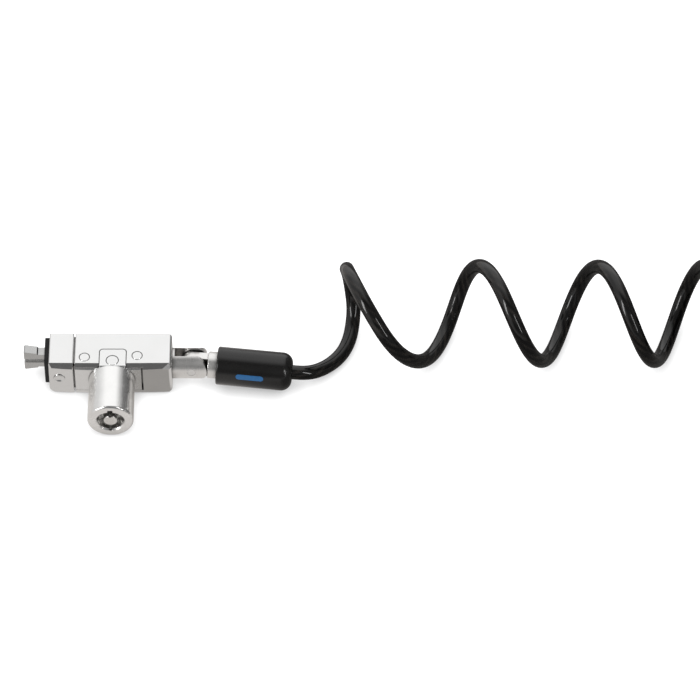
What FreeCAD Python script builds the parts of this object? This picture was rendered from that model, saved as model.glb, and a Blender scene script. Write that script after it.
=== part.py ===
import FreeCAD, Part
import math
import os

# Laptop cable lock with a self-coiling security cable. Millimetres, +Z up.
# Origin: on the front face of the rubber seat pad, on the long axis of the lock body.
# +X runs from the locking tip towards the cable, +Y away from the key barrel.

os.makedirs("parts", exist_ok=True)
V = FreeCAD.Vector
EX, EY, EZ = V(1, 0, 0), V(0, 1, 0), V(0, 0, 1)

# ---- driving dimensions -------------------------------------------------
SQ = 6.4            # half side of the square body
PAD_T = 1.4         # rubber pad thickness
NOSE_X1 = 8.82      # nose block's rear face
BODY_X0, BODY_X1 = 9.28, 38.5
XB = 20.4           # key barrel axis, X
RB = 6.95           # key barrel radius
FACE_Y = -22.4      # key barrel's front face
KEY_R = 4.0         # keyway outer radius
POST_R = 2.1        # keyway centre post radius
PIN_RING = 3.05     # pitch radius of the tumbler pins
N_PINS = 7
YJ, ZJ = 2.0, 0.4   # centre of the locking jaws
XP = 4.5            # jaw pivot
JT = 2.9            # jaw thickness
TRAVEL = 1.6        # drive slider travel
CAM_R0, CAM_R1 = 3.9, 2.3   # follower radius in the cam, locked and unlocked
XY = 44.4           # yoke pin, X
YOKE_R = 4.65
CABLE_R = 2.2
SLEEVE_R = 5.8
HPINS = [(12.2, -2.75), (28.1, -2.15)]   # pins that hold the barrel housing in the body
TILT = -12.0        # the yoke rests turned this much about X
FLOOR = -RB         # the lock lies on its key barrel
COIL_R = 16.75      # outer radius of the coiled cable
COIL_Y, COIL_Z = 11.3, FLOOR + 16.75
COIL_X0, COIL_X1, COIL_X2 = 89.2, 200.0, 266.0


def box(x0, x1, y0, y1, z0, z1):
    return Part.makeBox(x1 - x0, y1 - y0, z1 - z0, V(x0, y0, z0))


def cx(r, x0, x1, y=0.0, z=0.0):
    return Part.makeCylinder(r, x1 - x0, V(x0, y, z), EX)


def cy(r, y0, y1, x=0.0, z=0.0):
    return Part.makeCylinder(r, y1 - y0, V(x, y0, z), EY)


def cz(r, z0, z1, x=0.0, y=0.0):
    return Part.makeCylinder(r, z1 - z0, V(x, y, z0), EZ)


def prism_y(points, y0, y1):
    """Extrude an XZ outline along Y."""
    pts = [V(x, y0, z) for x, z in points]
    return Part.Face(Part.makePolygon(pts + [pts[0]])).extrude(V(0, y1 - y0, 0))


def clean(shape):
    s = shape.removeSplitter()
    return s if s.isValid() else shape


def round_edges(shape, r, pick):
    edges = [e for e in shape.Edges if pick(e)]
    if not edges:
        print("  no edges picked, r", r)
        return shape
    try:
        out = shape.makeFillet(r, edges)
        if out.isValid() and out.Volume > 0:
            return out
        print("  fillet", r, "left out: not valid")
    except Exception as error:
        print("  fillet", r, "left out:", error)
    return shape


def bevel_edges(shape, c, pick):
    edges = [e for e in shape.Edges if pick(e)]
    if not edges:
        print("  no edges picked, c", c)
        return shape
    try:
        out = shape.makeChamfer(c, edges)
        if out.isValid() and out.Volume > 0:
            return out
        print("  chamfer", c, "left out: not valid")
    except Exception as error:
        print("  chamfer", c, "left out:", error)
    return shape


def at(value, target, tol=1e-3):
    return abs(value - target) < tol


def save(name, shape, solids=1):
    if shape.ShapeType != "Solid" and len(shape.Solids) == 1:
        shape = shape.Solids[0]
    assert shape.isValid(), name + " is not valid"
    assert len(shape.Solids) == solids, "%s has %d solids" % (name, len(shape.Solids))
    shape.exportStep("parts/%s.step" % name)
    b = shape.BoundBox
    print("%-24s %9.2f mm3  x %7.2f %7.2f  y %7.2f %7.2f  z %7.2f %7.2f" % (
        name, shape.Volume, b.XMin, b.XMax, b.YMin, b.YMax, b.ZMin, b.ZMax))
    return shape


# ---- the shared outside shape of nose, body and housing plate ------------
# The front side bows slightly outwards about the key barrel.
BOW_R = 361.0
bow = box(-5, 45, -12, 0, -9, 9).cut(
    Part.makeCylinder(BOW_R, 18, V(XB, -SQ + BOW_R, -9), EZ))


# The top front edge carries a flat that widens away from the barrel on each side.
def wedge_cut(x0, x1):
    """Everything in front of the slanting plane, from x0 at the barrel to x1 at the end."""
    z0, z1 = 4.0, 7.6
    y_of = lambda x, z: -SQ + 0.68 * (z - SQ + 1.9) + 0.14 * abs(x - XB) / 18.6
    ring = []
    for x in (x0, x1):
        ring.append([V(x, y_of(x, z0), z0), V(x, y_of(x, z1), z1), V(x, -12, z1), V(x, -12, z0)])
    faces = [Part.Face(Part.makePolygon(ring[0] + [ring[0][0]])), Part.Face(Part.makePolygon(ring[1] + [ring[1][0]]))]
    for i in range(4):
        q = [ring[0][i], ring[0][(i + 1) % 4], ring[1][(i + 1) % 4], ring[1][i]]
        faces.append(Part.Face(Part.makePolygon(q + [q[0]])))
    solid = Part.makeSolid(Part.makeShell(faces))
    return solid if solid.Volume > 0 else solid.reversed()


strip = wedge_cut(XB, 45).fuse(wedge_cut(XB, -5))


# A small facet runs the flat out at each end of the lock.
def end_facet(xa, xe, slope, lean):
    """Everything in front of the plane that leaves the front side at xa and falls back towards xe."""
    y_of = lambda x, z: -SQ + slope * abs(x - xa) + lean * (z - SQ + 1.9)
    ring = []
    for x in (xa, xe):
        ring.append([V(x, y_of(x, -8), -8), V(x, y_of(x, 8), 8), V(x, -14, 8), V(x, -14, -8)])
    faces = [Part.Face(Part.makePolygon(ring[0] + [ring[0][0]])), Part.Face(Part.makePolygon(ring[1] + [ring[1][0]]))]
    for i in range(4):
        q = [ring[0][i], ring[0][(i + 1) % 4], ring[1][(i + 1) % 4], ring[1][i]]
        faces.append(Part.Face(Part.makePolygon(q + [q[0]])))
    solid = Part.makeSolid(Part.makeShell(faces))
    return solid if solid.Volume > 0 else solid.reversed()


facet_right = end_facet(34.6, 42.0, 0.15, 0.5)
facet_left = end_facet(2.75, -3.0, 0.77, 0.2)

# ---- seat pad -------------------------------------------------------------
pad = box(0, PAD_T, -3.9, 6.1, -5.2, 5.2)
pad = round_edges(pad, 1.0, lambda e: e.BoundBox.XLength > PAD_T - 0.01)
pad = pad.cut(box(-1, 3, YJ - 1.55, YJ + 1.55, ZJ - 3.0, ZJ + 3.0))
pad = bevel_edges(pad, 0.15, lambda e: at(e.BoundBox.XMin, 0) and at(e.BoundBox.XMax, 0)
                  and (e.BoundBox.YMin < -2.8 or e.BoundBox.YMax > 5.0 or e.BoundBox.ZMin < -4.1 or e.BoundBox.ZMax > 4.1))
save("seat_pad", clean(pad))

# ---- nose block -------------------------------------------------------------
nose = box(PAD_T, NOSE_X1, -SQ, SQ, -SQ, SQ)
nose = round_edges(nose, 2.0, lambda e: at(e.BoundBox.XMax, PAD_T) and at(e.BoundBox.ZMax, -SQ))
nose = round_edges(nose, 0.5, lambda e: at(e.BoundBox.XMax, PAD_T) and at(e.BoundBox.ZMin, SQ))
nose = nose.cut(bow).cut(strip).cut(facet_left)
nose = bevel_edges(nose, 0.26, lambda e: at(e.BoundBox.XMin, NOSE_X1) and at(e.BoundBox.XMax, NOSE_X1))
nose = nose.fuse(box(NOSE_X1 - 0.5, BODY_X0, -5.0, 5.6, -5.6, 4.6)).fuse(box(NOSE_X1 - 0.5, BODY_X0, -4.3, 5.85, 4.5, 5.3))
nose = nose.cut(box(0, 10, YJ - 1.5, YJ + 1.5, ZJ - 3.1, ZJ + 3.1))
nose = nose.cut(cy(1.66, -7, -0.2, XP, ZJ)).cut(cy(1.02, -0.3, 5.35, XP, ZJ))
for z in (-4.3, 4.3):
    nose = nose.cut(cx(0.82, 5.5, 10, 4.7, z))
save("nose_block", clean(nose))

# jaw pivot pin: wide dished end to the front, slim journal under the jaws
pin = cy(1.64, -SQ + 0.12, -0.25, XP, ZJ).fuse(cy(1.0, -0.25, 5.3, XP, ZJ))
pin = pin.cut(Part.makeSphere(2.3, V(XP, -SQ + 0.12 - 1.75, ZJ)))
save("jaw_pivot_pin", clean(pin))

# ---- jaws ---------------------------------------------------------------------
SLOPE = 0.2525
TAIL_X = 11.5


def jaw(sign, y_half0, y_half1, name):
    z = lambda v: ZJ + sign * v
    y0, y1 = YJ - JT / 2, YJ + JT / 2
    head = prism_y([(-6.4, z(0.74)), (-5.6, z(0.74)), (-5.6, z(0.85)), (1.75, z(0.85)), (1.75, z(2.8)), (-2.1, z(2.8)),
                    (-2.45, z(3.3)), (-6.0, z(4.0)), (-6.4, z(3.75))], y0, y1)
    link = prism_y([(1.2, z(0.85)), (4.5, z(0.85)), (4.5, z(2.55)), (3.6, z(2.8)), (1.2, z(2.8))], y_half0, y_half1)
    ear = cy(2.55, y_half0, y_half1, XP, ZJ)
    t_in = lambda x: 1.2 + SLOPE * (x - TAIL_X)
    t_out = lambda x: 2.3 + SLOPE * (x - TAIL_X)
    tail = prism_y([(5.2, z(-t_in(5.2))), (TAIL_X, z(-t_in(TAIL_X))), (TAIL_X, z(-t_out(TAIL_X))), (5.2, z(-t_out(5.2) - 0.1))],
                   y_half0, y_half1)
    body = head.fuse(link).fuse(ear).fuse(tail)
    body = body.cut(cy(1.04, y0 - 1, y1 + 1, XP, ZJ))
    body = clean(body)
    body = bevel_edges(body, 0.18, lambda e: at(e.BoundBox.XMin, -6.4) and at(e.BoundBox.XMax, -6.4) and e.BoundBox.ZLength > 1.5)
    return save(name, body)


jaw(1, YJ + 0.03, YJ + JT / 2, "upper_jaw")
jaw(-1, YJ - JT / 2, YJ - 0.03, "lower_jaw")

# ---- drive slider: wedge between the jaw tails, lips outside them ---------------
w = lambda x: 1.14 + SLOPE * (x - TAIL_X)
o = lambda x: 2.37 + SLOPE * (x - TAIL_X)
wedge = prism_y([(8.8, ZJ + w(8.8)), (13.0, ZJ + w(13.0)), (13.0, ZJ - w(13.0)), (8.8, ZJ - w(8.8))], 0.5, 3.5)
slider = wedge.fuse(box(12.6, 14.4, 0.5, 3.5, ZJ - 3.75, ZJ + 3.75))
for s in (1, -1):
    slider = slider.fuse(prism_y([(9.4, ZJ + s * o(9.4)), (12.8, ZJ + s * o(12.8)), (12.8, ZJ + s * 3.75), (9.4, ZJ + s * 3.75)], 0.5, 3.5))
slider = slider.fuse(box(14.0, 17.4, 0.5, 3.5, -1.25, 2.05))
slider = slider.cut(cy(0.6, 0, 2.5, XB - CAM_R0, 0))
save("drive_slider", clean(slider))
save("follower_pin", cy(0.6, -0.65, 2.5, XB - CAM_R0, 0))

# ---- cam disc with its spiral slot --------------------------------------------------
cam = cy(4.85, -0.78, 0.3, XB, 0)
inner, outer = [], []
N = 24
for i in range(N + 1):
    th = math.radians(90.0 * i / N)
    r = CAM_R0 - (CAM_R0 - CAM_R1) * th / (math.pi / 2)
    dr = -(CAM_R0 - CAM_R1) / (math.pi / 2)
    c, s = math.cos(th), math.sin(th)
    tx, tz = -(dr * c - r * s), -(dr * s + r * c)
    ln = math.hypot(tx, tz)
    nx, nz = -tz / ln, tx / ln
    px, pz = XB - r * c, -r * s
    inner.append(V(px + 0.67 * nx, -2, pz + 0.67 * nz))
    outer.append(V(px - 0.67 * nx, -2, pz - 0.67 * nz))
ca, cb = Part.BSplineCurve(), Part.BSplineCurve()
ca.interpolate(inner)
cb.interpolate(list(reversed(outer)))
slot = Part.Face(Part.Wire([ca.toShape(), Part.makeLine(inner[-1], outer[-1]), cb.toShape(), Part.makeLine(outer[0], inner[0])])).extrude(V(0, 4, 0))
cam = cam.cut(slot).cut(cy(0.67, -2, 2, XB - CAM_R0, 0)).cut(cy(0.67, -2, 2, XB, -CAM_R1))
spindle_end = cy(1.35, -0.95, 0.3, XB, 0).common(box(XB - 1.35, XB + 1.35, -2, 1, -1.05, 1.05))
cam = cam.cut(cy(1.38, -2, 1, XB, 0).common(box(XB - 2, XB + 2, -2, 1, -1.07, 1.07)))
save("cam_disc", clean(cam))

# ---- key plug: post, flange with pin holes, spindle -----------------------------------
post = round_edges(cy(POST_R, FACE_Y + 0.3, -16.6, XB, 0), 0.25, lambda e: at(e.BoundBox.YMax, FACE_Y + 0.3))
post = post.cut(cy(0.5, FACE_Y - 1, FACE_Y + 3.0, XB, POST_R - 0.05))
plug = post.fuse(cy(5.15, -16.95, -12.45, XB, 0)).fuse(cy(1.6, -12.6, -0.9, XB, 0)).fuse(spindle_end)
ring = [(XB + PIN_RING * math.sin(math.radians(a)), PIN_RING * math.cos(math.radians(a)))
        for a in [360.0 / N_PINS * (i + 0.5) for i in range(N_PINS)]]
for x, z in ring:
    plug = plug.cut(cy(0.76, -18, -12, x, z))
plug = plug.cut(cy(0.6, -3.0, 1, XB, 0))
save("key_plug", clean(plug))
key_pins = [round_edges(cy(0.7, -16.85 + 0.12 * (i % 3), -12.5, x, z), 0.2, lambda e: e.BoundBox.YMax < -16)
            for i, (x, z) in enumerate(ring)]
save("key_pins", Part.makeCompound(key_pins), N_PINS)
save("driver_pins", Part.makeCompound([cy(0.7, -12.38, -9.95, x, z) for x, z in ring]), N_PINS)
save("tumbler_springs", Part.makeCompound([cy(0.66, -9.9, -6.45, x, z).cut(cy(0.36, -10, -6, x, z)) for x, z in ring]), N_PINS)
screw = cy(1.1, 0.34, 0.95, XB, 0).fuse(cy(0.57, -2.9, 0.5, XB, 0)).cut(box(XB - 0.18, XB + 0.18, 0.7, 2, -2, 2))
save("cam_screw", clean(screw))

# fixed rear cylinder that holds the driver pins and their springs
rear = cy(5.2, -12.4, -0.95, XB, 0).cut(cy(1.66, -14, 0, XB, 0))
for x, z in ring:
    rear = rear.cut(cy(0.76, -13, -6.4, x, z))
rear = rear.cut(cz(1.96, 3.3, 8, 20.65, -4.0))
save("rear_cylinder", clean(rear))

# ---- barrel housing: front plate, key barrel and top tab in one casting -------------------
plate = box(BODY_X0 + 0.04, 29.3, -SQ, -0.9, -5.12, 5.12).cut(bow).cut(strip)
plate = plate.fuse(box(28.5, 30.6, -4.9, -0.9, -5.12, 5.12))
barrel = cy(RB, FACE_Y, -SQ - 0.02, XB, 0)
barrel = round_edges(barrel, 0.9, lambda e: at(e.BoundBox.YMax, FACE_Y))
barrel = barrel.fuse(cy(RB, -SQ - 0.5, -SQ + 0.9, XB, 0).common(box(0, 40, -9, 0, -5.12, 5.12)))
tab = box(XB + 0.35 - 3.95, XB + 0.35 + 3.95, -SQ - 0.1, 0.2, 4.9, SQ)
tab = bevel_edges(tab, 0.45, lambda e: at(e.BoundBox.YMax, -SQ - 0.1) and at(e.BoundBox.ZMin, SQ))
tab = round_edges(tab, 1.0, lambda e: at(e.BoundBox.YMin, 0.2) and e.BoundBox.ZLength > 1)
housing = clean(plate.fuse(tab).fuse(barrel))
housing = round_edges(housing, 1.3, lambda e: e.BoundBox.YMax < -SQ + 0.4 and e.BoundBox.YMin > -SQ - 0.05
                      and e.BoundBox.XMin > XB - RB - 0.1 and e.BoundBox.XMax < XB + RB + 0.1
                      and e.Curve.TypeId != "Part::GeomLine" and e.BoundBox.ZMax < 5.3 and e.BoundBox.ZLength > 8)
housing = housing.cut(cy(KEY_R, FACE_Y - 1, -16, XB, 0))
housing = housing.cut(cy(5.25, -17.0, 0, XB, 0))
housing = housing.cut(Part.makeCone(KEY_R + 0.45, KEY_R, 0.45, V(XB, FACE_Y, 0), EY))
housing = housing.cut(box(XB - 0.78, XB + 0.78, FACE_Y - 1, FACE_Y + 3.2, KEY_R - 0.8, KEY_R + 1.3))
housing = housing.cut(cy(0.55, FACE_Y - 1, FACE_Y + 3.2, XB, -KEY_R - 0.05))
for x, y in HPINS:
    housing = housing.cut(cz(1.66, -8, 8, x, y))
housing = housing.cut(cz(1.96, 3.0, 9, 20.65, -4.0))
save("barrel_housing", clean(housing))

pins = [bevel_edges(cz(1.6, -SQ, SQ - 0.02, x, y), 0.18, lambda e: e.BoundBox.ZLength < 0.01) for x, y in HPINS]
save("housing_pins", Part.makeCompound(pins), 2)
save("cylinder_pin", bevel_edges(cz(1.9, 3.4, SQ - 0.02, 20.65, -4.0), 0.18, lambda e: at(e.BoundBox.ZMin, SQ - 0.02)))

# ---- main body ------------------------------------------------------------------------------
body = box(BODY_X0, BODY_X1, -SQ, SQ, -SQ, SQ)
body = round_edges(body, 0.4, lambda e: e.BoundBox.XLength > 20 and not (at(e.BoundBox.YMin, -SQ) and at(e.BoundBox.ZMin, SQ)))
body = body.cut(bow).cut(strip)
body = clean(body)
body = round_edges(body, 1.0, lambda e: at(e.BoundBox.XMin, BODY_X1) and at(e.BoundBox.XMax, BODY_X1))
body = clean(body.cut(facet_right))
RS, RF = SQ - 0.2, SQ - 0.35
rect = lambda x, g: Part.makePolygon([V(x, -RF - g, -RS - g), V(x, RS + g, -RS - g), V(x, RS + g, RS + g),
                                      V(x, -RF - g, RS + g), V(x, -RF - g, -RS - g)])
front_bevel = Part.makeLoft([rect(BODY_X0, 0), rect(BODY_X0 + 1.0, 1.0)], True, True).fuse(box(BODY_X0 + 0.9, 45, -9, 9, -9, 9))
body = clean(body.common(front_bevel))
body = body.cut(box(0, 29.82, -10, -0.86, -5.2, 5.2)).cut(box(28, 30.66, -4.96, -0.86, -5.2, 5.2))
tabcut = box(XB + 0.35 - 4.17, XB + 0.35 + 4.17, -10, 0.42, 4, 9)
tabcut = round_edges(tabcut, 1.2, lambda e: at(e.BoundBox.YMin, 0.42) and e.BoundBox.ZLength > 1)
body = body.cut(tabcut)
for x, y in HPINS:
    body = body.cut(cz(1.66, -8, 8, x, y))
body = body.cut(cy(5.0, -1.0, 0.46, XB, 0)).cut(cy(1.6, 0, 1.2, XB, 0))
body = body.cut(box(0, 16.2, 0.44, 3.56, ZJ - 3.8, ZJ + 3.8)).cut(box(16, 19.3, 0.44, 3.56, -1.3, 2.1))
body = body.cut(cx(4.25, 30.0, 34.0)).cut(cx(2.66, 33, 40))
for z in (-4.3, 4.3):
    body = body.cut(cx(0.82, 5.5, 12.6, 4.7, z))
save("main_body", clean(body))
save("nose_dowels", Part.makeCompound([cx(0.8, 5.55, 12.5, 4.7, z) for z in (-4.3, 4.3)]), 2)

# ---- swivel yoke -------------------------------------------------------------------------------
ARM_END = 4.6
yoke = cx(YOKE_R, BODY_X1 + 0.06, XY).fuse(
    cx(YOKE_R, XY, XY + 5).common(cy(ARM_END, -6, 6, XY, 0)))
yoke = yoke.fuse(cx(2.6, 31.6, BODY_X1 + 1))
yoke = yoke.cut(box(39.3, 60, -1.9, 1.9, -6, 6))
yoke = yoke.cut(cx(3.6, 32.6, 33.4).cut(cx(2.0, 32, 34)))
yoke = yoke.cut(cy(1.26, -6, 6, XY, 0))
yoke = clean(yoke)
yoke = round_edges(yoke, 0.25, lambda e: e.BoundBox.XMin > XY and abs(e.BoundBox.YMin) < 1.95 and abs(e.BoundBox.YMax) < 1.95 and e.BoundBox.ZLength > 5)
yoke.rotate(V(0, 0, 0), EX, TILT)
save("swivel_yoke", yoke)
clip = cx(3.5, 32.64, 33.36).cut(cx(2.04, 32, 34)).cut(box(32, 34, -1.3, 1.3, -5, 0))
save("yoke_retaining_clip", clean(clip))
yp = cy(1.24, -YOKE_R - 0.5, YOKE_R + 0.5, XY, 0).common(cx(YOKE_R - 0.03, XY - 2, XY + 2))
yp.rotate(V(0, 0, 0), EX, TILT)
save("yoke_pin", yp)

# ---- ferrule and cable sleeve, along the cable's own direction --------------------------------------
D = V(1, -0.0872, -0.0405)
D.normalize()
turn = FreeCAD.Placement(V(XY, 0, 0), FreeCAD.Rotation(D, EY, EZ, "XZY"))


def along(shape):
    s = shape.copy()
    s.Placement = turn.multiply(s.Placement)
    return s


FS, SL = 7.65, 30.6     # shoulder end and sleeve end, from the yoke pin
tongue = cy(3.3, -1.45, 1.45).fuse(box(0, 5.2, -1.45, 1.45, -3.3, 3.3))
shoulder = cx(4.05, 4.95, FS + 0.6)
shoulder = round_edges(shoulder, 0.3, lambda e: at(e.BoundBox.XMax, 4.95) and at(e.BoundBox.XMin, 4.95))
ferrule = clean(tongue.fuse(shoulder).fuse(cx(3.3, FS, 25.0)).cut(cx(2.25, 9.0, 26)))
ferrule.rotate(V(0, 0, 0), EX, TILT)
bore = cy(1.30, -6, 6, XY, 0)
bore.rotate(V(0, 0, 0), EX, TILT)
ferrule = clean(along(ferrule).cut(bore))
save("cable_ferrule", ferrule)
sleeve = cx(SLEEVE_R, FS, SL)
sleeve = round_edges(sleeve, 3.2, lambda e: at(e.BoundBox.XMin, SL))
sleeve = round_edges(sleeve, 0.6, lambda e: at(e.BoundBox.XMax, FS))
sleeve = sleeve.cut(cx(3.34, 8.3, 25.05)).cut(cx(4.09, 0, 8.3)).cut(cx(2.25, 24, 32))
save("cable_sleeve", clean(along(clean(sleeve))))


# ---- the cable -------------------------------------------------------------------------------------------
def tube(points, name, share=0.45):
    """Straight runs joined by tangent arcs, with a round section."""
    P = [V(*p) for p in points]
    edges, cur, radii, length = [], P[0], [], 0.0
    for i in range(1, len(P) - 1):
        a, b = (P[i] - P[i - 1]), (P[i + 1] - P[i])
        la, lb = a.Length, b.Length
        ua, ub = a * (1 / la), b * (1 / lb)
        half = math.acos(max(-1, min(1, ua.dot(ub)))) / 2
        t = share * min(la, lb)
        radii.append(round(t / math.tan(half), 1))
        s, e = P[i] - ua * t, P[i] + ub * t
        bis = ub - ua
        bis.normalize()
        centre = P[i] + bis * (t / math.sin(half))
        m = P[i] - centre
        m.normalize()
        mid = centre + m * (t / math.tan(half))
        edges.append(Part.LineSegment(cur, s).toShape())
        arc = Part.Arc(s, mid, e).toShape()
        length += (s - cur).Length + arc.Length
        edges.append(arc)
        cur = e
    edges.append(Part.LineSegment(cur, P[-1]).toShape())
    length += (P[-1] - cur).Length
    path = Part.Wire(edges)
    d0 = P[1] - P[0]
    section = Part.Wire([Part.makeCircle(CABLE_R, P[0], d0)])
    solid = path.makePipeShell([section], True, False, 2)
    if solid.Volume < 0:
        solid = solid.reversed()
    want = math.pi * CABLE_R ** 2 * length
    print("%s: length %.1f, volume %.1f against %.1f, radii %s" % (name, length, solid.Volume, want, radii))
    assert abs(solid.Volume / want - 1) < 0.02, name
    return solid, length


pd = lambda x: (XY + D.x * x, D.y * x, D.z * x)
LEAD = [pd(24.0), pd(30.0), (80.2, -1.9, -2.6), (85.0, 1.6, -4.35), (89.4, 6.2, -4.75)]
TAIL = [(264.6, -3.2, 4.6), (266.6, -2.2, 0.9), (270.7, -0.5, -2.2), (277.0, 1.6, -3.5), (285.5, 3.2, -3.55), (306.5, 3.2, -3.55)]
LOOP = [(313.0, 3.2, -3.55), (327.0, 3.2, -3.55), (334.5, -1.0, -4.3), (343.0, -7.9, -4.75), (354.0, -12.2, -4.75),
        (366.0, -10.3, -4.75), (375.0, -2.3, -4.75), (377.2, 9.4, -4.75), (370.6, 19.4, -4.75), (358.8, 23.8, -4.75),
        (346.5, 20.4, -4.75), (336.5, 13.0, -4.3), (327.0, 8.0, -3.55), (313.0, 8.0, -3.55)]
lead, l1 = tube(LEAD, "cable_lead")
save("cable_lead", lead)
save("cable_coil_open", cx(COIL_R, COIL_X0, COIL_X1, COIL_Y, COIL_Z))
save("cable_coil_closed", cx(COIL_R, COIL_X1, COIL_X2, COIL_Y, COIL_Z))
tail, l2 = tube(TAIL, "cable_tail")
save("cable_tail", tail)
loop, l3 = tube(LOOP, "cable_end_loop")
save("cable_end_loop", loop)


# ---- loop ferrule and its sleeve ------------------------------------------------------------------------
def oval(x0, x1, half_w, half_h, y, z):
    flat = half_w - half_h
    s = box(x0, x1, y - flat, y + flat, z - half_h, z + half_h)
    return clean(s.fuse(cx(half_h, x0, x1, y - flat, z)).fuse(cx(half_h, x0, x1, y + flat, z)))


LY, LZ = 5.6, -3.55
crimp = oval(301.0, 317.0, 5.3, 2.75, LY, LZ)
for y in (LY - 2.4, LY + 2.4):
    crimp = crimp.cut(cx(2.24, 300, 318, y, LZ))
save("loop_ferrule", clean(crimp))
boot = oval(297.0, 321.0, 6.0, 3.4, LY, LZ)
boot = round_edges(boot, 1.0, lambda e: at(e.BoundBox.XLength, 0) and (at(e.BoundBox.XMin, 297) or at(e.BoundBox.XMin, 321)))
boot = boot.cut(oval(300.9, 317.1, 5.34, 2.79, LY, LZ))
boot = boot.cut(cx(2.24, 296, 302, LY - 2.4, LZ))
for y in (LY - 2.4, LY + 2.4):
    boot = boot.cut(cx(2.24, 316, 322, y, LZ))
save("loop_sleeve", clean(boot))
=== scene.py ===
import math

import bmesh
import bpy
from mathutils import Matrix, Vector


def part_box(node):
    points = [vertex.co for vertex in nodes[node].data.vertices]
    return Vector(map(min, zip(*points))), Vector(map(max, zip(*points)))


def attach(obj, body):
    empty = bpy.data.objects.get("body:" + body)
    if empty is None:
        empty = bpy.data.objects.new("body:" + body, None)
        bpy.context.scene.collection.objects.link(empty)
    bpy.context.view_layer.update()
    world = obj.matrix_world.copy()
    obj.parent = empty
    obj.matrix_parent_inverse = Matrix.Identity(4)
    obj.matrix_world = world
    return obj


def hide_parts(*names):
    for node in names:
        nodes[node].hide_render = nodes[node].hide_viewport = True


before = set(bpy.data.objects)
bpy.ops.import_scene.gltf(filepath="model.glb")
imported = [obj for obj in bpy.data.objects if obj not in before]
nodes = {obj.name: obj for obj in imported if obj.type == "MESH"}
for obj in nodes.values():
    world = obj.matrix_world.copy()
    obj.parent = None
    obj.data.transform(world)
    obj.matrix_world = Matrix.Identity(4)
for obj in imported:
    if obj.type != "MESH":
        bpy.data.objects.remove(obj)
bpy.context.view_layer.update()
scene = bpy.context.scene
MM = 0.001


def mm(x, y, z):
    return Vector((x * MM, y * MM, z * MM))


# ---------------------------------------------------------------- places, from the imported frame
floor_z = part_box("barrel_housing")[0].z
barrel_lo, barrel_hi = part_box("barrel_housing")
coil_lo, coil_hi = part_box("cable_coil_open")
closed_lo, closed_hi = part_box("cable_coil_closed")
sleeve_lo, sleeve_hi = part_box("cable_sleeve")
yoke_pin_lo, yoke_pin_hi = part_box("yoke_pin")
PIVOT = (yoke_pin_lo + yoke_pin_hi) / 2
CABLE_DIR = Vector((1.0, -0.0872, -0.0405)).normalized()
CABLE_R = 2.2 * MM


# ---------------------------------------------------------------- node helpers
class Nodes:
    def __init__(self, name):
        self.mat = bpy.data.materials.new(name)
        self.mat.use_nodes = True
        self.t = self.mat.node_tree
        self.t.nodes.clear()
        self.out = self.t.nodes.new("ShaderNodeOutputMaterial")

    def add(self, kind, **inputs):
        n = self.t.nodes.new(kind)
        for k, v in inputs.items():
            if k.startswith("_"):
                setattr(n, k[1:], v)
                continue
            key = k.replace("__", " ")
            sock = n.inputs[int(key[1:])] if key[0] == "i" and key[1:].isdigit() else n.inputs[key]
            self.put(sock, v)
        return n

    def put(self, sock, v):
        if isinstance(v, bpy.types.NodeSocket):
            self.t.links.new(v, sock)
        elif isinstance(v, bpy.types.Node):
            self.t.links.new(v.outputs[0], sock)
        else:
            sock.default_value = v

    def math(self, op, a, b=0.0, c=0.0, clamp=False):
        n = self.t.nodes.new("ShaderNodeMath")
        n.operation, n.use_clamp = op, clamp
        for i, v in enumerate((a, b, c)):
            self.put(n.inputs[i], v)
        return n.outputs[0]

    def coords(self, scale=(1, 1, 1), rot=(0, 0, 0)):
        tc = self.t.nodes.new("ShaderNodeTexCoord")
        m = self.t.nodes.new("ShaderNodeMapping")
        m.inputs["Scale"].default_value = scale
        m.inputs["Rotation"].default_value = rot
        self.t.links.new(tc.outputs["Object"], m.inputs["Vector"])
        return m.outputs[0]

    def noise(self, vec, scale, detail=3.0, rough=0.55):
        n = self.t.nodes.new("ShaderNodeTexNoise")
        self.t.links.new(vec, n.inputs["Vector"])
        n.inputs["Scale"].default_value = scale
        n.inputs["Detail"].default_value = detail
        n.inputs["Roughness"].default_value = rough
        return n.outputs["Fac"]

    def ramp(self, fac, stops, mode="LINEAR"):
        n = self.t.nodes.new("ShaderNodeValToRGB")
        n.color_ramp.interpolation = mode
        e = n.color_ramp.elements
        while len(e) > 1:
            e.remove(e[-1])
        e[0].position, e[0].color = stops[0][0], (*stops[0][1], 1) if len(stops[0][1]) == 3 else stops[0][1]
        for p, c in stops[1:]:
            k = e.new(p)
            k.color = (*c, 1) if len(c) == 3 else c
        self.put(n.inputs["Fac"], fac)
        return n.outputs["Color"]

    def remap(self, v, a, b, lo=0.0, hi=1.0):
        n = self.t.nodes.new("ShaderNodeMapRange")
        self.put(n.inputs["Value"], v)
        n.inputs["From Min"].default_value, n.inputs["From Max"].default_value = lo, hi
        n.inputs["To Min"].default_value, n.inputs["To Max"].default_value = a, b
        return n.outputs["Result"]

    def bump(self, height, strength, distance, normal=None):
        n = self.t.nodes.new("ShaderNodeBump")
        n.inputs["Strength"].default_value = strength
        n.inputs["Distance"].default_value = distance
        self.put(n.inputs["Height"], height)
        if normal is not None:
            self.put(n.inputs["Normal"], normal)
        return n.outputs[0]

    def edge(self, radius):
        n = self.t.nodes.new("ShaderNodeBevel")
        n.samples = 4
        n.inputs["Radius"].default_value = radius
        return n.outputs[0]

    def principled(self, **inputs):
        p = self.add("ShaderNodeBsdfPrincipled", **inputs)
        self.t.links.new(p.outputs[0], self.out.inputs["Surface"])
        return p


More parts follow.
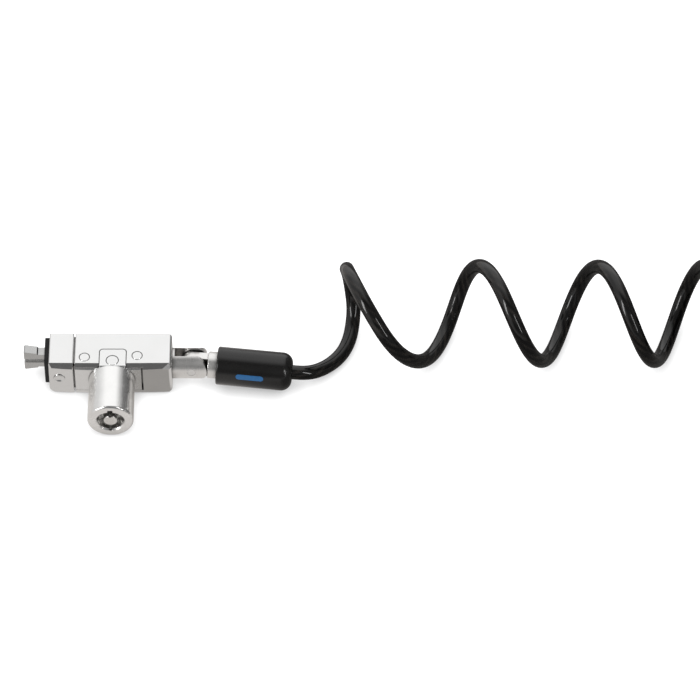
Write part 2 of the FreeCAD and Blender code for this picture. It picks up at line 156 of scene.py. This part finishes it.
def metal(name, tint, rough, grain_scale, grain=0.05, bump=0.12, edge=0.12, speck=0.0, aniso=0.0, dark=0.86, crevice=0.9, tab=None):
    """Plated or ground metal: grain runs along the short axis of grain_scale, with a little tarnish in patches."""
    m = Nodes(name)
    fine = m.noise(m.coords(grain_scale), 1.0, 4.0, 0.65)
    patch = m.noise(m.coords((1, 1, 1)), 170.0, 3.0, 0.5)
    spots = m.noise(m.coords((1, 1, 1)), 1400.0, 2.0, 0.5)
    low = tuple(c * dark for c in tint)
    colour = m.ramp(m.math("ADD", m.math("MULTIPLY", patch, 0.7), m.math("MULTIPLY", fine, 0.3)),
                    [(0.3, low), (0.62, tint)])
    if tab:
        # the part of the casting that lies flush in the body is polished with it
        where = m.t.nodes.new("ShaderNodeSeparateXYZ")
        m.t.links.new(m.coords(), where.inputs[0])
        flush = m.t.nodes.new("ShaderNodeMix")
        flush.data_type = "RGBA"
        m.t.links.new(m.remap(where.outputs[1], 0.0, 1.0, -7.0 * MM, -6.3 * MM), flush.inputs["Factor"])
        m.t.links.new(colour, flush.inputs[6])
        flush.inputs[7].default_value = (*tab, 1)
        colour = flush.outputs[2]
    if crevice:
        # painted shade: the colour darkens by ambient occlusion in seams, slots and round flush pins, where shade falls
        ao = m.t.nodes.new("ShaderNodeAmbientOcclusion")
        ao.samples = 6
        ao.inputs["Distance"].default_value = crevice * MM
        painted_crevice_shade = m.t.nodes.new("ShaderNodeMix")
        painted_crevice_shade.data_type = "RGBA"
        m.t.links.new(m.remap(ao.outputs["AO"], 0.0, 1.0, 0.30, 0.82), painted_crevice_shade.inputs["Factor"])
        # near-black colour of the painted shade
        painted_crevice_shade.inputs[6].default_value = (0.035, 0.032, 0.029, 1)
        m.t.links.new(colour, painted_crevice_shade.inputs[7])
        colour = painted_crevice_shade.outputs[2]
    r = m.math("ADD", m.remap(fine, rough - grain, rough + grain, 0.3, 0.7), m.remap(patch, -0.03, 0.03, 0.3, 0.7))
    if speck:
        r = m.math("ADD", r, m.remap(spots, 0, speck, 0.6, 0.8))
    normal = m.bump(fine, bump, 0.00002, m.edge(edge * MM) if edge else None)
    m.principled(Base__Color=colour, Metallic=1.0, Roughness=m.math("MAXIMUM", r, 0.03), Normal=normal, Anisotropic=aniso)
    return m.mat


# grain_scale gives the noise per metre on each axis: large across the grain, small along it
nickel = metal("polished_nickel", (0.745, 0.745, 0.74), 0.12, (900, 900, 900), grain=0.025, bump=0.03, edge=0.12, speck=0.03, dark=0.975)
satin = metal("satin_nickel", (0.85, 0.845, 0.835), 0.24, (9000, 260, 9000), grain=0.05, bump=0.10, edge=0.14, dark=0.93, crevice=0.8, tab=(0.745, 0.745, 0.74))
brushed = metal("turned_steel", (0.80, 0.79, 0.775), 0.33, (14000, 300, 300), grain=0.08, bump=0.26, edge=0.10, dark=0.88, crevice=2.2)
ground = metal("ground_steel", (0.51, 0.51, 0.505), 0.27, (700, 9000, 9000), grain=0.09, bump=0.20, edge=0.08, dark=0.88)
plug_steel = metal("plug_steel", (0.72, 0.71, 0.69), 0.26, (2600, 2600, 2600), grain=0.06, bump=0.12, edge=0.08)
pin_steel = metal("pin_steel", (0.745, 0.745, 0.74), 0.14, (2200, 2200, 2200), grain=0.03, bump=0.05, edge=0.06, dark=0.96)
spring = metal("spring_steel", (0.45, 0.44, 0.42), 0.3, (3000, 3000, 3000), grain=0.05, bump=0.1, edge=0)
brass = metal("brass", (0.62, 0.47, 0.22), 0.3, (5000, 400, 5000), grain=0.07, bump=0.15, edge=0)
pin_dark = metal("key_pin_steel", (0.30, 0.29, 0.28), 0.32, (4000, 4000, 4000), grain=0.06, bump=0.15, edge=0.05)


def rubber_material():
    m = Nodes("black_rubber")
    grain = m.noise(m.coords(), 2600.0, 4.0, 0.7)
    cloud = m.noise(m.coords(), 320.0, 2.0, 0.5)
    colour = m.ramp(cloud, [(0.3, (0.006, 0.006, 0.0065)), (0.7, (0.012, 0.012, 0.0125))])
    m.principled(Base__Color=colour, Specular__IOR__Level=0.3, Roughness=m.remap(grain, 0.55, 0.8, 0.3, 0.7), Normal=m.bump(grain, 0.35, 0.00004, m.edge(0.12 * MM)))
    return m.mat


def sleeve_material():
    m = Nodes("black_vinyl_sleeve")
    grain = m.noise(m.coords(), 1500.0, 4.0, 0.65)
    wave = m.noise(m.coords((1, 1, 1)), 120.0, 2.0, 0.4)
    colour = m.ramp(wave, [(0.3, (0.0040, 0.0037, 0.0037)), (0.7, (0.0070, 0.0065, 0.0062))])
    m.principled(Base__Color=colour, Roughness=m.remap(grain, 0.20, 0.28, 0.3, 0.7), IOR=1.46,
                 Coat__Weight=0.15, Coat__Roughness=0.08, Normal=m.bump(m.math("ADD", m.math("MULTIPLY", grain, 0.25), wave), 0.10, 0.00012))
    return m.mat


def cable_material():
    """Smoky black vinyl, clear enough that the laid strands show through it as faint slanting bands."""
    m = Nodes("smoky_vinyl_cable")
    uv = m.t.nodes.new("ShaderNodeUVMap")
    uv.uv_map = "along"
    sep = m.t.nodes.new("ShaderNodeSeparateXYZ")
    m.t.links.new(uv.outputs[0], sep.inputs[0])
    along, around = sep.outputs[0], sep.outputs[1]
    # 7 strands; one lay of the rope is 27 mm; each strand is itself laid from wires
    strand = m.math("FRACT", m.math("ADD", m.math("MULTIPLY", along, 7 / 27.0), m.math("MULTIPLY", around, 7.0)))
    wire = m.math("FRACT", m.math("SUBTRACT", m.math("MULTIPLY", along, 1.15), m.math("MULTIPLY", around, 14.0)))
    crown = m.math("SINE", m.math("MULTIPLY", strand, math.pi))
    wires = m.math("SINE", m.math("MULTIPLY", wire, math.pi))
    haze = m.noise(m.coords(), 240.0, 3.0, 0.6)
    mix = m.math("MULTIPLY", m.math("POWER", crown, 1.5), m.math("ADD", 0.62, m.math("MULTIPLY", wires, 0.38)))
    mix = m.math("MULTIPLY", mix, m.remap(haze, 0.35, 1.0, 0.35, 0.65), clamp=True)
    colour = m.ramp(mix, [(0.0, (0.0012, 0.0011, 0.0011)), (0.35, (0.0030, 0.0027, 0.0025)), (1.0, (0.019, 0.0155, 0.013))])
    film = m.noise(m.coords(), 900.0, 3.0, 0.5)
    ripple = m.noise(m.coords(), 90.0, 2.0, 0.4)
    m.principled(Base__Color=colour, Roughness=0.36, Specular__IOR__Level=0.08, IOR=1.45, Coat__Weight=1.0, Coat__IOR=1.43,
                 Coat__Roughness=m.remap(film, 0.035, 0.10, 0.3, 0.7),
                 Normal=m.bump(crown, 0.05, 0.00006), Coat__Normal=m.bump(ripple, 0.06, 0.0003))
    return m.mat


def paint_material():
    m = Nodes("blue_print")
    n = m.noise(m.coords(), 1800.0, 3.0, 0.6)
    m.principled(Base__Color=m.ramp(n, [(0.3, (0.003, 0.092, 0.26)), (0.7, (0.006, 0.115, 0.31))]),
                 Roughness=m.remap(n, 0.30, 0.42, 0.3, 0.7), Normal=m.bump(n, 0.1, 0.00002))
    return m.mat


rubber, vinyl, cable_mat, blue = rubber_material(), sleeve_material(), cable_material(), paint_material()

FINISH = {
    "seat_pad": rubber, "nose_block": nickel, "main_body": nickel, "barrel_housing": satin, "housing_pins": pin_steel,
    "cylinder_pin": pin_steel, "jaw_pivot_pin": pin_steel, "upper_jaw": ground, "lower_jaw": ground, "drive_slider": ground,
    "follower_pin": pin_steel, "cam_disc": plug_steel, "key_plug": plug_steel, "key_pins": pin_dark, "driver_pins": brass,
    "tumbler_springs": spring, "cam_screw": pin_steel, "rear_cylinder": brass, "nose_dowels": pin_steel, "swivel_yoke": brushed,
    "yoke_retaining_clip": spring, "yoke_pin": pin_steel, "cable_ferrule": brushed, "cable_sleeve": vinyl,
    "loop_ferrule": brushed, "loop_sleeve": vinyl,
}
for name, mat in FINISH.items():
    data = nodes[name].data
    data.materials.clear()
    data.materials.append(mat)


# ---------------------------------------------------------------- mesh helpers
def new_object(name, mesh, mat, body):
    ob = bpy.data.objects.new(name, mesh)
    scene.collection.objects.link(ob)
    mesh.materials.append(mat)
    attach(ob, body)
    return ob


def nurbs_points(points, resolution):
    """The points of the smooth line that a NURBS spline makes of its control points."""
    cu = bpy.data.curves.new("route", "CURVE")
    cu.dimensions = "3D"
    cu.resolution_u = resolution
    sp = cu.splines.new("NURBS")
    sp.points.add(len(points) - 1)
    for p, q in zip(sp.points, points):
        p.co = (*q, 1.0)
    sp.order_u = 3
    sp.use_endpoint_u = True
    ob = bpy.data.objects.new("route", cu)
    scene.collection.objects.link(ob)
    bpy.context.view_layer.update()
    me = bpy.data.meshes.new_from_object(ob.evaluated_get(bpy.context.evaluated_depsgraph_get()))
    line = [v.co.copy() for v in me.vertices]
    bpy.data.meshes.remove(me)
    bpy.data.objects.remove(ob)
    bpy.data.curves.remove(cu)
    return line


def sweep(name, line, radius, sides=24):
    """A closed round tube along a line, with the distance along it in millimetres and the turn round it as its UVs."""
    n = len(line)
    tangents = []
    for i in range(n):
        a, b = line[max(0, i - 1)], line[min(n - 1, i + 1)]
        tangents.append((b - a).normalized())
    up = tangents[0].orthogonal().normalized()
    verts, dist, d = [], [], 0.0
    for i in range(n):
        if i:
            d += (line[i] - line[i - 1]).length
            axis = tangents[i - 1].cross(tangents[i])
            if axis.length > 1e-9:
                up = Matrix.Rotation(tangents[i - 1].angle(tangents[i]), 3, axis.normalized()) @ up
            up = (up - tangents[i] * up.dot(tangents[i])).normalized()
        side = tangents[i].cross(up)
        dist.append(d)
        for k in range(sides):
            a = 2 * math.pi * k / sides
            verts.append(line[i] + (up * math.cos(a) + side * math.sin(a)) * radius)
    faces, uvs = [], []
    for i in range(n - 1):
        for k in range(sides):
            k2 = (k + 1) % sides
            faces.append((i * sides + k, i * sides + k2, (i + 1) * sides + k2, (i + 1) * sides + k))
            v0, v1 = k / sides, (k + 1) / sides
            uvs += [(dist[i] * 1000, v0), (dist[i] * 1000, v1), (dist[i + 1] * 1000, v1), (dist[i + 1] * 1000, v0)]
    faces.append(tuple(reversed(range(sides))))
    uvs += [(0, 0)] * sides
    faces.append(tuple((n - 1) * sides + k for k in range(sides)))
    uvs += [(dist[-1] * 1000, 0)] * sides
    me = bpy.data.meshes.new(name)
    me.from_pydata([tuple(v) for v in verts], [], faces)
    layer = me.uv_layers.new(name="along")
    for i, uv in enumerate(uvs):
        layer.data[i].uv = uv
    me.polygons.foreach_set("use_smooth", [len(p.vertices) == 4 for p in me.polygons])
    me.validate()
    me.update()
    return me, d


# ---------------------------------------------------------------- the cable, one line from the ferrule to the end loop
def from_pivot(x):
    return PIVOT + CABLE_DIR * x * MM


COIL_Y, COIL_Z = (coil_lo.y + coil_hi.y) / 2, (coil_lo.z + coil_hi.z) / 2
TURN_R = 14.75 * MM
# how far along X the coil has come at each angle, in degrees from +Y towards +Z: the turns are uneven, as a relaxed coil's are
STATIONS = [(-88, 92.0), (-52, 93.8), (0, 92.2), (38, 91.0), (70, 92.1), (102, 94.7), (166, 104.1), (218, 113.2), (263, 119.3), (308, 123.7), (353, 127.2),
            (398, 131.3), (488, 140.6), (578, 150.4), (623, 154.7), (668, 158.7), (758, 167.4), (848, 175.8), (938, 184.6),
            (1028, 192.3), (1100, 198.6), (1150, 201.8), (1200, 203.6)]
END_ANGLE, END_X = 5940.0, 263.9


def coil_x(a):
    if a >= STATIONS[-1][0]:
        a0, x0 = STATIONS[-1]
        return x0 + (END_X - x0) * (a - a0) / (END_ANGLE - a0)
    for (a0, x0), (a1, x1) in zip(STATIONS, STATIONS[1:]):
        if a <= a1:
            t = (a - a0) / (a1 - a0)
            return x0 + (x1 - x0) * t
    return END_X


def smooth_x(a):
    return sum(coil_x(a + k * 9) for k in (-2, -1, 0, 1, 2)) / 5 if a > 130 else coil_x(a)


route = [from_pivot(24.0), from_pivot(30.0), mm(80.2, -1.9, -2.6), mm(85.0, 1.6, -4.35), mm(89.4, 6.2, -4.75)]
a = -88.0
while a <= END_ANGLE + 0.01:
    wander = 0.12 * MM * math.sin(math.radians(a) * 0.37) if 100 < a < 1100 else 0.0
    r = TURN_R + wander - 0.12 * MM * (100 < a < 1100) - 1.0 * MM * math.exp(-((a - 42) / 48) ** 2)
    route.append(Vector((smooth_x(a) * MM if a < END_ANGLE - 20 else END_X * MM,
                         COIL_Y + r * math.cos(math.radians(a)), COIL_Z + r * math.sin(math.radians(a)))))
    a += 22.5 if a + 22.5 < END_ANGLE - 5 or a >= END_ANGLE - 5 else END_ANGLE - a
TAIL = [(264.6, -3.2, 4.6), (266.6, -2.2, 0.9), (270.7, -0.5, -2.2), (277.0, 1.6, -3.5), (285.5, 3.2, -3.55), (306.5, 3.2, -3.55)]
LOOP = [(313.0, 3.2, -3.55), (327.0, 3.2, -3.55), (334.5, -1.0, -4.3), (343.0, -7.9, -4.75), (354.0, -12.2, -4.75),
        (366.0, -10.3, -4.75), (375.0, -2.3, -4.75), (377.2, 9.4, -4.75), (370.6, 19.4, -4.75), (358.8, 23.8, -4.75),
        (346.5, 20.4, -4.75), (336.5, 13.0, -4.3), (327.0, 8.0, -3.55), (313.0, 8.0, -3.55)]
route += [mm(*p) for p in TAIL + LOOP]
for p in route:
    p.z = max(p.z, floor_z + CABLE_R)
line = nurbs_points(route, 5)
mesh, cable_length = sweep("security_cable", line, CABLE_R, 24)
print("cable length", round(cable_length, 4), "points", len(line), "lowest", round(min(p.z for p in line) * 1000, 3))
cable = new_object("security_cable", mesh, cable_mat, "cable")
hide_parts("cable_lead", "cable_coil_open", "cable_coil_closed", "cable_tail", "cable_end_loop")

# ---------------------------------------------------------------- plain blue bar printed on the sleeve
side = CABLE_DIR.cross(Vector((0, 0, 1))).normalized()
lift = side.cross(CABLE_DIR).normalized()


def on_sleeve(x, angle, r):
    """x along the sleeve from the yoke pin in mm; angle from straight up, positive towards the key barrel's side."""
    return from_pivot(x) + (lift * math.cos(angle) + side * math.sin(angle)) * r * MM


def printed_bar(name, x_mid, ang_mid, length, width, r0=5.79, r1=5.84):
    bm = bmesh.new()
    outline = []
    hw, hl = width / 2, length / 2 - width / 2
    for k in range(13):
        t = -math.pi / 2 + math.pi * k / 12
        outline.append((hl + hw * math.cos(t), hw * math.sin(t)))
    for k in range(13):
        t = math.pi / 2 + math.pi * k / 12
        outline.append((-hl + hw * math.cos(t), hw * math.sin(t)))
    rings = []
    for r, shrink in ((r0, 1.0), (r1 - 0.01, 1.0), (r1, 0.93)):
        rings.append([bm.verts.new(on_sleeve(x_mid + u * (1 if shrink == 1 else 0.99), ang_mid + v * shrink / 5.8, r)) for u, v in outline])
    for lo, hi in zip(rings, rings[1:]):
        for k in range(len(lo)):
            bm.faces.new((lo[k], lo[(k + 1) % len(lo)], hi[(k + 1) % len(lo)], hi[k]))
    # strips across the bar keep its faces on the sleeve's curve
    for ring, flip in ((rings[-1], False), (rings[0], True)):
        n = len(ring)
        i, j = 0, n - 1
        while i + 1 < j:
            f = (ring[i], ring[i + 1], ring[j - 1], ring[j]) if not flip else (ring[j], ring[j - 1], ring[i + 1], ring[i])
            if len(set(f)) == 4:
                bm.faces.new(f)
            i, j = i + 1, j - 1
    bmesh.ops.recalc_face_normals(bm, faces=bm.faces)
    me = bpy.data.meshes.new(name)
    bm.to_mesh(me)
    bm.free()
    return new_object(name, me, blue, "cable")


printed_bar("sleeve_mark", 18.0, math.radians(68), 8.4, 1.7)

# ---------------------------------------------------------------- floor, light and camera
def plane(name, size, z, mat):
    me = bpy.data.meshes.new(name)
    s = size / 2
    me.from_pydata([(-s + 0.1, -s, z), (s + 0.1, -s, z), (s + 0.1, s, z), (-s + 0.1, s, z)], [], [(0, 1, 2, 3)])
    ob = bpy.data.objects.new(name, me)
    scene.collection.objects.link(ob)
    me.materials.append(mat)
    return ob


f = Nodes("studio_floor")
lp = f.t.nodes.new("ShaderNodeLightPath")
soft = f.noise(f.coords(), 3.0, 2.0, 0.5)
day = f.add("ShaderNodeBsdfDiffuse", Color=f.ramp(soft, [(0.3, (0.315, 0.315, 0.32)), (0.7, (0.33, 0.33, 0.33))]))
# painted shadow: the floor's glow dims by ambient occlusion within a few millimetres of the parts, a contact shadow
# painted round them
contact_shadow_ao = f.t.nodes.new("ShaderNodeAmbientOcclusion")
contact_shadow_ao.samples = 12
contact_shadow_ao.inputs["Distance"].default_value = 5.5 * MM
lift = f.add("ShaderNodeEmission", Color=(1, 1, 1, 1), Strength=f.remap(contact_shadow_ao.outputs["AO"], 0.30, 1.05, 0.08, 0.93))
both = f.t.nodes.new("ShaderNodeAddShader")
f.t.links.new(day.outputs[0], both.inputs[0])
f.t.links.new(lift.outputs[0], both.inputs[1])
# painted reflection: for mirrored rays only the floor glows warm, lighter in front and on the left, duller beside the
# barrel, so polished faces that look down show it
place = f.t.nodes.new("ShaderNodeSeparateXYZ")
f.t.links.new(f.coords(), place.inputs[0])
light_side = f.math("MAXIMUM", f.remap(place.outputs[0], 1.0, 0.0, 0.012, 0.022), f.remap(place.outputs[1], 1.0, 0.0, -0.027, -0.019))
light_side = f.math("MAXIMUM", light_side, f.remap(place.outputs[0], 0.0, 1.0, 0.0388, 0.0405))
seen = f.ramp(light_side, [(0.0, (0.385, 0.368, 0.35)), (1.0, (0.70, 0.675, 0.655))])
painted_floor_reflection = f.add("ShaderNodeEmission", Color=seen, Strength=f.remap(place.outputs[0], 1.0, 0.16, 0.055, 0.078))
mixer = f.t.nodes.new("ShaderNodeMixShader")
f.t.links.new(lp.outputs["Is Glossy Ray"], mixer.inputs[0])
f.t.links.new(both.outputs[0], mixer.inputs[1])
f.t.links.new(painted_floor_reflection.outputs[0], mixer.inputs[2])
f.t.links.new(mixer.outputs[0], f.out.inputs["Surface"])
plane("floor", 6.0, floor_z - 0.00002, f.mat)

# the studio: even light on the table; in mirrored light a white backdrop behind and above, dark in front, lighter on the left
world = bpy.data.worlds.new("studio")
scene.world = world
world.use_nodes = True
w = Nodes.__new__(Nodes)
w.t = world.node_tree
w.t.nodes.clear()
wout = w.t.nodes.new("ShaderNodeOutputWorld")
wtc = w.t.nodes.new("ShaderNodeTexCoord")
wsep = w.t.nodes.new("ShaderNodeSeparateXYZ")
w.t.links.new(wtc.outputs["Generated"], wsep.inputs[0])
dx, dy, dz = wsep.outputs
turn = w.math("DIVIDE", w.math("ARCTAN2", dz, w.math("MULTIPLY", dy, -1.0)), math.pi)
g = lambda v: (v, v, v)
over = w.ramp(turn, [(0.0, g(0.50)), (0.03, g(0.42)), (0.07, g(0.13)), (0.15, g(0.13)), (0.22, g(0.22)), (0.34, g(0.20)), (0.46, g(0.12)),
                     (0.56, g(0.95)), (0.61, g(1.19)), (0.90, g(1.19)), (1.0, g(0.8))])
sides = w.ramp(w.remap(dx, 0.0, 1.0, -1.0, 1.0), [(0.0, g(0.66)), (0.3, g(0.88)), (0.5, g(0.5)), (0.72, g(0.24)), (0.86, g(0.13)), (1.0, g(0.22))])
edge_on = w.remap(w.math("ABSOLUTE", dx), 0.0, 1.0, 0.34, 0.72)
blend = w.t.nodes.new("ShaderNodeMix")
blend.data_type = "RGBA"
w.t.links.new(edge_on, blend.inputs["Factor"])
w.t.links.new(over, blend.inputs[6])
w.t.links.new(sides, blend.inputs[7])
mirrored = w.t.nodes.new("ShaderNodeBackground")
w.t.links.new(blend.outputs[2], mirrored.inputs["Color"])
even = w.t.nodes.new("ShaderNodeBackground")
even.inputs["Color"].default_value = (1, 1, 1, 1)
even.inputs["Strength"].default_value = 0.85
wlp = w.t.nodes.new("ShaderNodeLightPath")
wmix = w.t.nodes.new("ShaderNodeMixShader")
w.t.links.new(wlp.outputs["Is Glossy Ray"], wmix.inputs[0])
w.t.links.new(even.outputs[0], wmix.inputs[1])
w.t.links.new(mirrored.outputs[0], wmix.inputs[2])
w.t.links.new(wmix.outputs[0], wout.inputs["Surface"])


def area(name, loc, target, size, power, size_y=None, glint=False):
    li = bpy.data.lights.new(name, "AREA")
    li.shape = "RECTANGLE"
    li.size, li.size_y = size, size_y or size
    li.energy = power
    ob = bpy.data.objects.new(name, li)
    scene.collection.objects.link(ob)
    ob.location = loc
    ob.rotation_mode = "QUATERNION"
    ob.rotation_quaternion = (Vector(target) - Vector(loc)).to_track_quat("-Z", "Y")
    ob.visible_camera = False
    ob.visible_glossy = glint
    ob.visible_diffuse = not glint
    return ob


aim = (0.08, 0.0, 0.0)
area("overhead", (0.05, 0.25, 1.25), aim, 1.3, 3.0, 1.0)
area("left_glint", (-0.80, -0.60, 0.62), aim, 0.24, 5.4, 0.85, True)
area("right_glint", (0.86, -0.70, 0.66), aim, 0.12, 2.6, 0.7, True)

ELEV = math.radians(51.7)
back = Vector((0.0, -math.cos(ELEV), math.sin(ELEV)))
cam = bpy.data.cameras.new("camera")
cam.lens, cam.sensor_width = 250.0, 36.0
cam_ob = bpy.data.objects.new("camera", cam)
scene.collection.objects.link(cam_ob)
target = mm(92.33, 3.09, 2.44)
cam_ob.location = target + back * 1.473
cam_ob.rotation_mode = "QUATERNION"
cam_ob.rotation_quaternion = (-back).to_track_quat("-Z", "Y")
cam.clip_start, cam.clip_end = 0.05, 20.0
cam.dof.use_dof = False
scene.camera = cam_ob
scene.view_settings.view_transform = "Standard"
